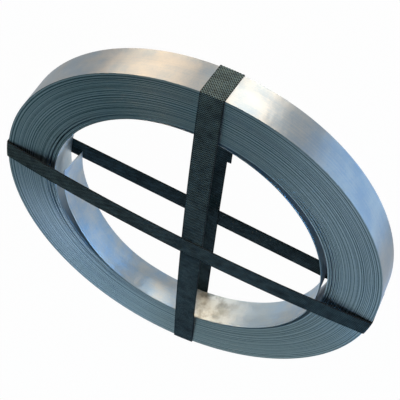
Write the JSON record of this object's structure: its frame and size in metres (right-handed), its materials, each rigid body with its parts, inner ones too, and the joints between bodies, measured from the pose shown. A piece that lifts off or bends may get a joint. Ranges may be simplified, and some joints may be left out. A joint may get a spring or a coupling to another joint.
{
  "type": "steel strapping band coil",
  "caption": "Flat coil of galvanised steel strapping band with a sprung inner end, held by crossed black plastic tie straps, for binding crates, pallets and bundled goods.",
  "frame": {"origin": "on the coil's axis, at floor level", "axes": "+Z along the coil's axis, away from the floor; Y along the strap that was tied first, whose weld is on the -Y side"},
  "size_m": [0.2869, 0.2876, 0.0333],
  "materials": {
    "galvanised_band": "zinc-coated cold-rolled steel, satin, blue-grey, with rolling streaks and soft mottling",
    "strap_plastic": "black polypropylene with an embossed diamond waffle, semi-matte"
  },
  "bodies": {
    "root": {"band_coil": "galvanised_band", "inner_tie_strap": "strap_plastic", "outer_tie_strap": "strap_plastic"}
  },
  "joints": []
}
